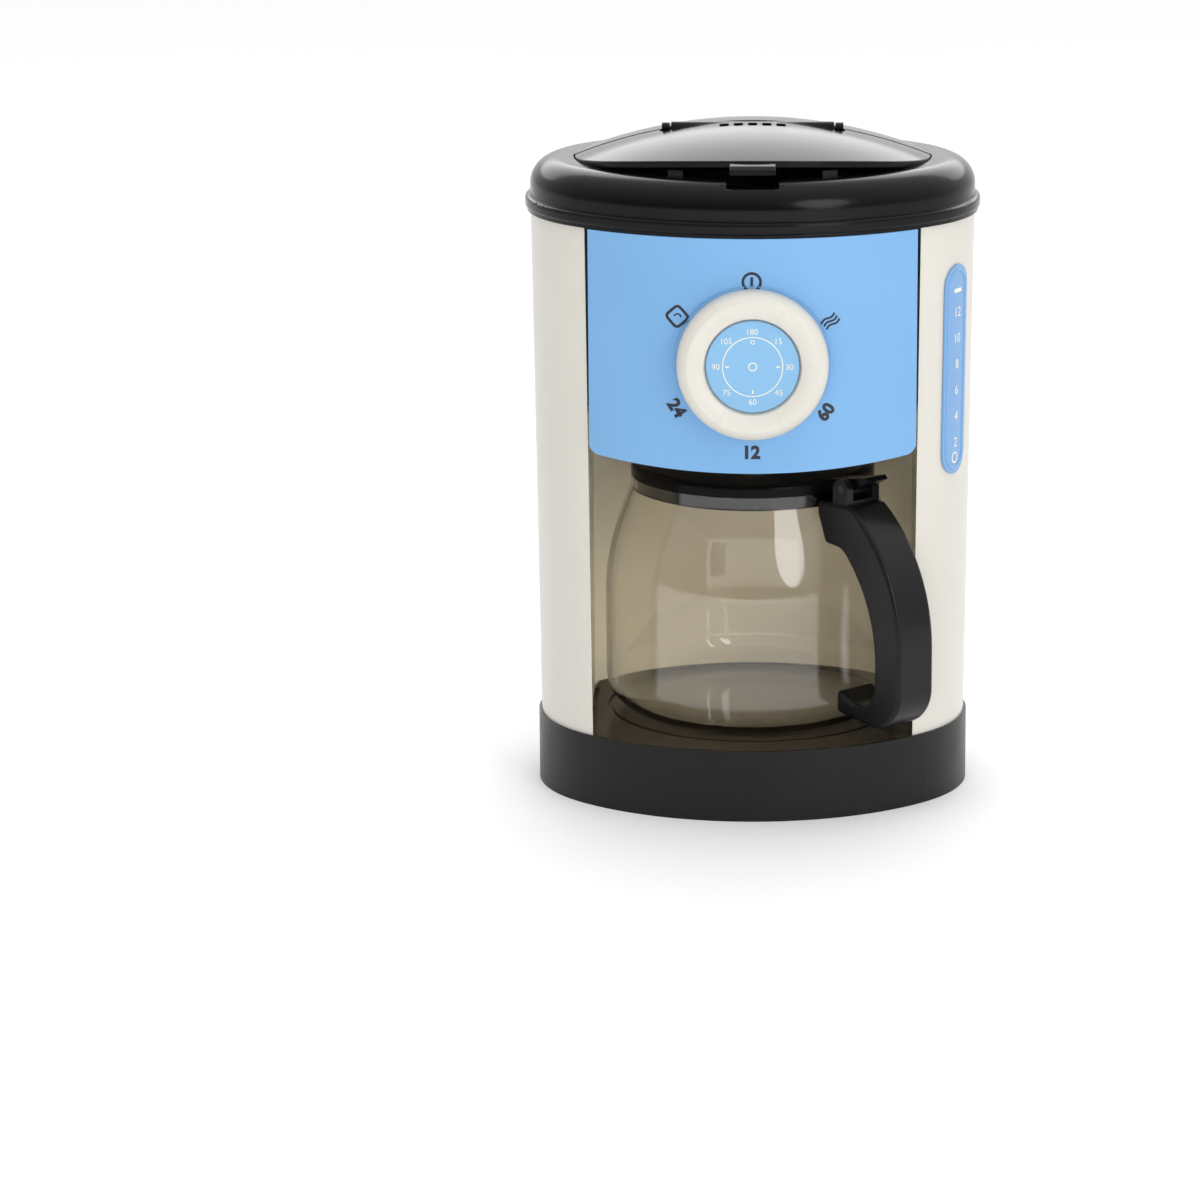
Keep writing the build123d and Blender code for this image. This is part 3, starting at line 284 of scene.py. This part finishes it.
def stroke(path, width, closed, surface, steps_over=4):
    """Vertices and faces of a printed line: a strip of that width along path.

    path is an (n, 2) array; the strip's points are the path moved sideways by s times
    the path's normal, s from -width/2 to width/2, and surface lays them on the piece.
    """
    if closed:
        ahead_of = np.roll(path, -1, axis=0) - np.roll(path, 1, axis=0)
    else:
        ahead_of = np.gradient(path, axis=0)
    ahead_of = ahead_of / np.linalg.norm(ahead_of, axis=1, keepdims=True)
    side = np.stack([-ahead_of[:, 1], ahead_of[:, 0]], axis=1)
    over = np.linspace(-width / 2, width / 2, steps_over)
    flat = path[:, None, :] + side[:, None, :] * over[None, :, None]
    points = surface(flat[..., 0], flat[..., 1], film).reshape(-1, 3)
    count = len(path)
    rows = np.arange(count if closed else count - 1)
    row, column = np.meshgrid(rows, np.arange(steps_over - 1), indexing="ij")
    after = (row + 1) % count
    faces = np.stack(
        [
            row * steps_over + column,
            after * steps_over + column,
            after * steps_over + column + 1,
            row * steps_over + column + 1,
        ],
        axis=-1,
    ).reshape(-1, 4)
    return points, faces


def turned(path, middle, turn):
    """The path turned by turn degrees and moved to middle."""
    angle = math.radians(turn)
    spin = np.array([[math.cos(angle), math.sin(angle)], [-math.sin(angle), math.cos(angle)]])
    return path @ spin + np.array(middle)


def figures(text, height, middle, turn, surface, bold=0.0):
    """Vertices and faces of printed figures: flat outlines filled with small triangles.

    The flat letter (u, v) is fattened by bold, scaled to height, turned by turn
    degrees, moved to middle and laid on the piece by surface.
    """
    curve = bpy.data.curves.new("figures", "FONT")
    curve.body = text
    curve.align_x = "CENTER"
    curve.resolution_u = 3
    curve.offset = bold
    curve_object = bpy.data.objects.new("figures", curve)
    bpy.context.scene.collection.objects.link(curve_object)
    bpy.context.view_layer.update()
    flat_mesh = bpy.data.meshes.new_from_object(curve_object)
    bpy.data.objects.remove(curve_object)
    shape = bmesh.new()
    shape.from_mesh(flat_mesh)
    bmesh.ops.remove_doubles(shape, verts=shape.verts, dist=1e-5)
    bmesh.ops.triangulate(shape, faces=shape.faces)
    shape.verts.ensure_lookup_table()
    flat = np.array([v.co[:2] for v in shape.verts])
    faces = np.array([[v.index for v in f.verts] for f in shape.faces])
    shape.free()
    bpy.data.meshes.remove(flat_mesh)
    low, high = flat.min(axis=0), flat.max(axis=0)
    flat = (flat - (low + high) / 2) * height / (high[1] - low[1])
    flat = turned(flat, middle, turn)
    return surface(flat[:, 0], flat[:, 1], film), faces


def ring(middle, radius, steps=40):
    """Closed circular path round middle."""
    angle = np.linspace(0, 2 * math.pi, steps, endpoint=False)
    return np.stack([middle[0] + radius * np.cos(angle), middle[1] + radius * np.sin(angle)], axis=1)


def line(start, end, steps=6):
    """Open straight path from start to end."""
    part = np.linspace(0.0, 1.0, steps)[:, None]
    return (1 - part) * np.array(start) + part * np.array(end)


def printed(name, marks, material, body):
    """One piece of all the marks of a print, each a closed film given by Solidify."""
    points, faces, start = [], [], 0
    for mark_points, mark_faces in marks:
        points.append(mark_points)
        faces.extend((mark_faces + start).tolist())
        start += len(mark_points)
    mesh = bpy.data.meshes.new(name)
    mesh.from_pydata(np.concatenate(points).tolist(), [], faces)
    mesh.validate()
    piece = bpy.data.objects.new(name, mesh)
    bpy.context.scene.collection.objects.link(piece)
    mesh.materials.append(material)
    film_depth = piece.modifiers.new("film", "SOLIDIFY")
    film_depth.thickness = film * film_filled
    film_depth.offset = -1.0
    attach(piece, body)


ink = 0.90 * mm
power_x = -0.3 * mm
power_middle = (power_x, 181.8 * mm)
power_radius = 2.85 * mm
power_bar_low = 180.2 * mm
power_bar_high = 183.4 * mm
panel_marks = [
    stroke(ring(power_middle, power_radius), ink, True, on_panel),
    stroke(line((power_x, power_bar_low), (power_x, power_bar_high)), ink, False, on_panel),
]
# Cup sign: a rounded square with a small hooked stroke inside
turn_round = np.linspace(0, 2 * math.pi, 56, endpoint=False)
square_half = 2.75 * mm
square_corner = 0.42
rounded_square = square_half * np.stack(
    [
        np.sign(np.cos(turn_round)) * np.abs(np.cos(turn_round)) ** square_corner,
        np.sign(np.sin(turn_round)) * np.abs(np.sin(turn_round)) ** square_corner,
    ],
    axis=1,
)
sign_middle = (-24.4 * mm, 169.9 * mm)
panel_marks.append(stroke(turned(rounded_square, sign_middle, 42), ink, True, on_panel))
hook_ink = 0.5 * mm
hook_turn = np.linspace(-0.6, 2.6, 12)
hook = np.stack([1.1 * mm * np.cos(hook_turn), 0.9 * mm * np.sin(hook_turn) - 0.1 * mm], axis=1)
panel_marks.append(stroke(turned(hook, sign_middle, 20), hook_ink, False, on_panel))
# Steam sign: three short waves side by side, each one turn of a sine
steam_middle = (25.2 * mm, 168.3 * mm)
steam_ink = 0.65 * mm
wave_half_length = 2.7 * mm
wave_swing = 0.45 * mm
wave_pitch = 1.3 * mm
along = np.linspace(-wave_half_length, wave_half_length, 18)
for shift in (-wave_pitch, 0.0, wave_pitch):
    wave = np.stack([shift + wave_swing * np.sin(along / wave_half_length * math.pi), along], axis=1)
    panel_marks.append(stroke(turned(wave, steam_middle, -50), steam_ink, False, on_panel))
panel_figure_height = 4.6 * mm
for text, middle, turn in (
    ("24", (-24.6 * mm, 139.6 * mm), -55.0),
    ("60", (23.7 * mm, 138.4 * mm), 52.0),
    ("12", (0.0, 125.6 * mm), 0.0),
):
    panel_marks.append(figures(text, panel_figure_height, middle, turn, on_panel, bold=0.045))
pad_black = moulded("pad_black", (0.012, 0.014, 0.030), 0.35, vary=0.1, grain=0.02)
printed("panel_print", panel_marks, pad_black, "main")


# ------------------------------------------------------------------ level window
# Make-believe water gauge: a long capsule in glossy pale blue plastic, snapped into
# the right column, with a raised bead round its face.

gauge_blue = moulded("gauge_blue", (0.165, 0.345, 0.620), 0.20, vary=0.02, grain=0.02)
finish_nodes(gauge_blue, "level_window")

# The gauge's place on the round side of the column, as the solids have it
side_middle_x = 23.8 * mm
side_radius = 48.0 * mm
gauge_angle = math.radians(30.0)
gauge_z = 146.0 * mm
gauge_proud = 0.8 * mm
gauge_half_length = 35.25 * mm
gauge_half_width = 7.4 * mm


def on_gauge(across, height, proud):
    """Point on the gauge: on the column's round side, across measured along its arc."""
    radius = side_radius + gauge_proud + (height - flare_start) * flare + proud
    angle = gauge_angle - across / radius
    return np.stack(
        [side_middle_x + radius * np.cos(angle), -radius * np.sin(angle), height], axis=-1
    )


def capsule(half_length, half_width, middle_z, steps=28):
    """Closed upright capsule path: two half circles joined by straight sides."""
    reach = half_length - half_width
    top = np.linspace(0.0, math.pi, steps)
    low = np.linspace(math.pi, 2 * math.pi, steps)
    rise = np.linspace(-reach, reach, 16)[1:-1]
    across = np.concatenate(
        [half_width * np.cos(top), np.full(len(rise), -half_width), half_width * np.cos(low),
         np.full(len(rise), half_width)]
    )
    height = np.concatenate(
        [reach + half_width * np.sin(top), rise[::-1], -reach + half_width * np.sin(low), rise]
    )
    return np.stack([across, middle_z + height], axis=1)


bead_inset = 1.9 * mm
bead_width = 1.3 * mm
bead_height = 0.4 * mm
bead_path = capsule(gauge_half_length - bead_inset, gauge_half_width - bead_inset, gauge_z)
bead_ahead = np.roll(bead_path, -1, axis=0) - np.roll(bead_path, 1, axis=0)
bead_ahead = bead_ahead / np.linalg.norm(bead_ahead, axis=1, keepdims=True)
bead_side = np.stack([-bead_ahead[:, 1], bead_ahead[:, 0]], axis=1)
# The bead's section is a half ellipse that closes below the gauge's face
section = np.linspace(0.0, 2 * math.pi, 14, endpoint=False)
bead_across = np.cos(section) * bead_width / 2
bead_flat = bead_path[:, None, :] + bead_side[:, None, :] * bead_across[None, :, None]
bead_lift = np.broadcast_to(np.sin(section) * bead_height, bead_flat.shape[:2])
bead_points = on_gauge(bead_flat[..., 0], bead_flat[..., 1], bead_lift).reshape(-1, 3)
bead_rows, bead_columns = np.meshgrid(np.arange(len(bead_path)), np.arange(len(section)), indexing="ij")
rows_after = (bead_rows + 1) % len(bead_path)
columns_after = (bead_columns + 1) % len(section)
bead_faces = np.stack(
    [
        bead_rows * len(section) + bead_columns,
        rows_after * len(section) + bead_columns,
        rows_after * len(section) + columns_after,
        bead_rows * len(section) + columns_after,
    ],
    axis=-1,
).reshape(-1, 4)
bead_mesh = bpy.data.meshes.new("gauge_bead")
bead_mesh.from_pydata(bead_points.tolist(), [], bead_faces.tolist())
bead_mesh.polygons.foreach_set("use_smooth", np.ones(len(bead_mesh.polygons), dtype=bool))
gauge_bead = bpy.data.objects.new("gauge_bead", bead_mesh)
bpy.context.scene.collection.objects.link(gauge_bead)
bead_mesh.materials.append(gauge_blue)
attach(gauge_bead, "main")


# ------------------------------------------------------------------ marks on the gauge
# Cream pad print on the gauge: a bar at the full mark, plain numbers below it,
# and a small ring at the bottom.

full_bar_half = 2.4 * mm
full_bar_z = 172.6 * mm
full_bar_ink = 1.3 * mm
full_bar = line((-full_bar_half, full_bar_z), (full_bar_half, full_bar_z))
gauge_marks = [stroke(full_bar, full_bar_ink, False, on_gauge)]
first_number_z = 121.4 * mm
number_pitch = 8.8 * mm
number_height = 3.2 * mm
number_shift = 0.4 * mm
for step in range(6):
    number_middle = (number_shift, first_number_z + number_pitch * step)
    gauge_marks.append(figures(str(2 * (step + 1)), number_height, number_middle, 0.0, on_gauge))
empty_ring_z = 116.2 * mm
empty_ring_radius = 1.7 * mm
empty_ring_ink = 0.5 * mm
empty_ring = ring((0.0, empty_ring_z), empty_ring_radius)
gauge_marks.append(stroke(empty_ring, empty_ring_ink, True, on_gauge))
pad_cream = moulded("pad_cream", (0.86, 0.84, 0.70), 0.40, vary=0.03, grain=0.02)
printed("gauge_print", gauge_marks, pad_cream, "main")


# ------------------------------------------------------------------ water tank, tray and basket
# Hidden mouldings over the niche: a grey tank with its tray, and a black basket
# that lifts out. All are plain injection mouldings.

tank_grey = moulded("tank_grey", (0.30, 0.30, 0.31), 0.42, vary=0.04, grain=0.06)
finish_nodes(tank_grey, "water_tank", "tank_tray")
basket_black = moulded("basket_black", (0.020, 0.020, 0.020), 0.45, vary=0.08, grain=0.08)
finish_nodes(basket_black, "filter_basket")


# ------------------------------------------------------------------ collar and lid
# The head's black cap: a collar with the fixed rear dome and the hinged front half,
# both moulded in black and polished to a high gloss. The hinge pins are satin black.

piano_black = moulded(
    "piano_black", (0.0030, 0.0028, 0.0033), 0.17, vary=0.1, grain=0.012, grain_scale=700.0, edge=0.0008,
    gloss_level=0.20,
)
finish_nodes(piano_black, "collar", "lid")
satin_pin = moulded("satin_pin", (0.014, 0.014, 0.014), 0.36, vary=0.1)
finish_nodes(satin_pin, "lid_pin", "jug_lid_pin")


# ------------------------------------------------------------------ knob
# The big timer knob: a cream ring with a dished face and six faint ribs,
# turning on the panel's boss. It is moulded in one piece with its hub.

knob_cream = moulded("knob_cream", (0.62, 0.60, 0.545), 0.36, vary=0.015, grain=0.03)
knob_tree = knob_cream.node_tree
knob_place = knob_tree.nodes.new("ShaderNodeTexCoord")
knob_centre = knob_tree.nodes.new("ShaderNodeMapping")
knob_centre.inputs["Location"].default_value = (0.0, 0.0, -knob_z)
knob_axes = knob_tree.nodes.new("ShaderNodeSeparateXYZ")
knob_angle = knob_tree.nodes.new("ShaderNodeMath")
knob_angle.operation = "ARCTAN2"
# The cosine of three times the angle, without its sign, has six crests in a turn
knob_six = knob_tree.nodes.new("ShaderNodeMath")
knob_six.operation = "MULTIPLY"
knob_six.inputs[1].default_value = 3.0
knob_wave = knob_tree.nodes.new("ShaderNodeMath")
knob_wave.operation = "COSINE"
knob_fold = knob_tree.nodes.new("ShaderNodeMath")
knob_fold.operation = "ABSOLUTE"
knob_rib = knob_tree.nodes.new("ShaderNodeMapRange")
knob_rib.interpolation_type = "SMOOTHSTEP"
knob_rib.inputs["From Min"].default_value = 0.988
knob_rib.inputs["From Max"].default_value = 1.0
knob_bump = knob_tree.nodes.new("ShaderNodeBump")
knob_bump.inputs["Strength"].default_value = 0.35
knob_bump.inputs["Distance"].default_value = 0.0004
knob_grain = next(n for n in knob_tree.nodes if n.bl_idname == "ShaderNodeBump" and n is not knob_bump)
knob_tree.links.new(knob_place.outputs["Object"], knob_centre.inputs["Vector"])
knob_tree.links.new(knob_centre.outputs["Vector"], knob_axes.inputs["Vector"])
knob_tree.links.new(knob_axes.outputs["Z"], knob_angle.inputs[0])
knob_tree.links.new(knob_axes.outputs["X"], knob_angle.inputs[1])
knob_tree.links.new(knob_angle.outputs["Value"], knob_six.inputs[0])
knob_tree.links.new(knob_six.outputs["Value"], knob_wave.inputs[0])
knob_tree.links.new(knob_wave.outputs["Value"], knob_fold.inputs[0])
knob_tree.links.new(knob_fold.outputs["Value"], knob_rib.inputs["Value"])
knob_tree.links.new(knob_rib.outputs["Result"], knob_bump.inputs["Height"])
knob_tree.links.new(knob_grain.outputs["Normal"], knob_bump.inputs["Normal"])
knob_tree.links.new(knob_bump.outputs["Normal"], knob_tree.nodes["Principled BSDF"].inputs["Normal"])
finish_nodes(knob_cream, "knob_ring")


# ------------------------------------------------------------------ dial
# Printed disc sunk in the knob: pale blue with a cream ring, eight numbers, three ticks
# and two small circles, one in the middle and one under the top number.

dial_blue = moulded("dial_blue", (0.205, 0.420, 0.650), 0.40, vary=0.03, grain=0.05)
finish_nodes(dial_blue, "dial_disc")
dial_face_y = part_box("dial_disc")[0].y


def on_dial(across, height, proud):
    """Point on the flat face of the dial."""
    return np.stack([across, np.full_like(across, dial_face_y) - proud, height], axis=-1)


dial_middle = (0.0, knob_z)
dial_ring_radius = 9.7 * mm
hub_ring_radius = 1.3 * mm
top_ring_middle = (0.0, knob_z + 8.1 * mm)
top_ring_radius = 0.6 * mm
dial_marks = [
    stroke(ring(dial_middle, dial_ring_radius, 72), 0.32 * mm, True, on_dial),
    stroke(ring(dial_middle, hub_ring_radius, 28), 0.35 * mm, True, on_dial),
    stroke(ring(top_ring_middle, top_ring_radius, 20), 0.3 * mm, True, on_dial),
]
# The numbers at the top and the bottom stand a little further in than the others
number_reach = 11.9 * mm
number_reach_upright = 11.5 * mm
dial_number_height = 1.9 * mm
for step, number in enumerate(("180", "15", "30", "45", "60", "75", "90", "105")):
    bearing = math.radians(45.0 * step)
    out = number_reach if step % 4 else number_reach_upright
    place = (out * math.sin(bearing), knob_z + out * math.cos(bearing))
    dial_marks.append(figures(number, dial_number_height, place, 0.0, on_dial))
tick_inner = 7.6 * mm
tick_outer = 8.8 * mm
tick_ink = 0.5 * mm
for bearing_degrees in (90, 180, 270):
    bearing = math.radians(bearing_degrees)
    toward = np.array([math.sin(bearing), math.cos(bearing)])
    start = np.array(dial_middle) + toward * tick_inner
    end = np.array(dial_middle) + toward * tick_outer
    dial_marks.append(stroke(line(start, end, 3), tick_ink, False, on_dial))
printed("dial_print", dial_marks, pad_cream, "knob")


# ------------------------------------------------------------------ click wheel and spring
# White acetal parts behind the panel that make the knob click as it turns.
# They are hidden once the toy is put together.

acetal_white = moulded("acetal_white", (0.74, 0.74, 0.72), 0.38, vary=0.02, grain=0.04)
finish_nodes(acetal_white, "click_wheel", "click_spring")


# ------------------------------------------------------------------ jug
# The jug, moulded in clear polystyrene with a very light smoke-brown tint and round
# corners at its foot. It stands on the plate and is lifted out by its handle.

clear_smoke = moulded("clear_smoke", (0.985, 0.972, 0.945), 0.03, vary=0.01, grain=0.004, grain_scale=240.0)
smoke_tree = clear_smoke.node_tree
smoke_shader = smoke_tree.nodes["Principled BSDF"]
smoke_shader.inputs["Transmission Weight"].default_value = 1.0
smoke_shader.inputs["IOR"].default_value = 1.55
# Lamp light passes the thin clear wall almost unweakened on its way to the niche
light_kind = smoke_tree.nodes.new("ShaderNodeLightPath")
let_through = smoke_tree.nodes.new("ShaderNodeBsdfTransparent")
let_through.inputs["Color"].default_value = (0.975, 0.96, 0.93, 1.0)
either = smoke_tree.nodes.new("ShaderNodeMixShader")
smoke_tree.links.new(light_kind.outputs["Is Shadow Ray"], either.inputs["Fac"])
smoke_tree.links.new(smoke_shader.outputs["BSDF"], either.inputs[1])
smoke_tree.links.new(let_through.outputs["BSDF"], either.inputs[2])
smoke_tree.links.new(either.outputs["Shader"], smoke_tree.nodes["Material Output"].inputs["Surface"])
finish_nodes(clear_smoke, "jug_body")


# ------------------------------------------------------------------ jug handle and lid
# Black handle with a satin surface that slides on the jug's lug, and the jug's lid
# with a hinge at the handle, in a duller black than the cap's.

handle_black = moulded("handle_black", (0.0055, 0.0053, 0.0057), 0.30, grain=0.08, gloss_level=0.26)
finish_nodes(handle_black, "jug_handle")
lid_black = moulded("lid_black", (0.0025, 0.0023, 0.0027), 0.22, vary=0.1, grain=0.02, gloss_level=0.10)
finish_nodes(lid_black, "jug_lid")
